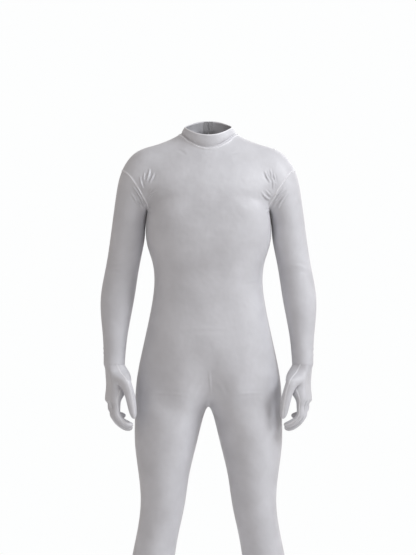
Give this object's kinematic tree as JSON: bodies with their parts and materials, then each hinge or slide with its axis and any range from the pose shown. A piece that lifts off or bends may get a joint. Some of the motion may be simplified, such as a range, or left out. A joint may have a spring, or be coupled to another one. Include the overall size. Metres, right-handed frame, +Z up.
{
  "type": "fitted jumpsuit",
  "caption": "Close-fitting one-piece stretch jumpsuit with a mock neck, sleeves that run into gloves, full-length legs and a centre-back zip, standing as worn.",
  "frame": {"origin": "midway between the two points where the shoulder lines meet the collar; the wearer's shoulders hold the suit up there", "axes": "+Z up along the wearer's height, +X to the wearer's left, the front faces -Y"},
  "size_m": [0.5714, 0.2447, 1.496],
  "materials": {
    "stretch_cloth": "light silver-grey stretch knit with a soft satin sheen",
    "zip_tape": "grey woven tape",
    "zip_metal": "nickel-plated"
  },
  "bodies": {
    "suit": {"front": "stretch_cloth", "back_left": "stretch_cloth", "back_right": "stretch_cloth", "sleeve_left": "stretch_cloth", "sleeve_right": "stretch_cloth", "collar": "stretch_cloth", "glove_back_left": "stretch_cloth", "glove_palm_left": "stretch_cloth", "glove_back_right": "stretch_cloth", "glove_palm_right": "stretch_cloth", "zip_tape_left": "zip_tape", "zip_tape_right": "zip_tape", "zip_slider": "zip_metal"},
    "pull_tab": {"zip_pull": "zip_metal"}
  },
  "joints": [
    {"name": "pull_tab_swing", "type": "hinge", "parent": "suit", "child": "pull_tab", "pos_m": [0, 0.05764, 0.03883], "axis": [1, 0, 0], "range_deg": [0, 150]}
  ]
}
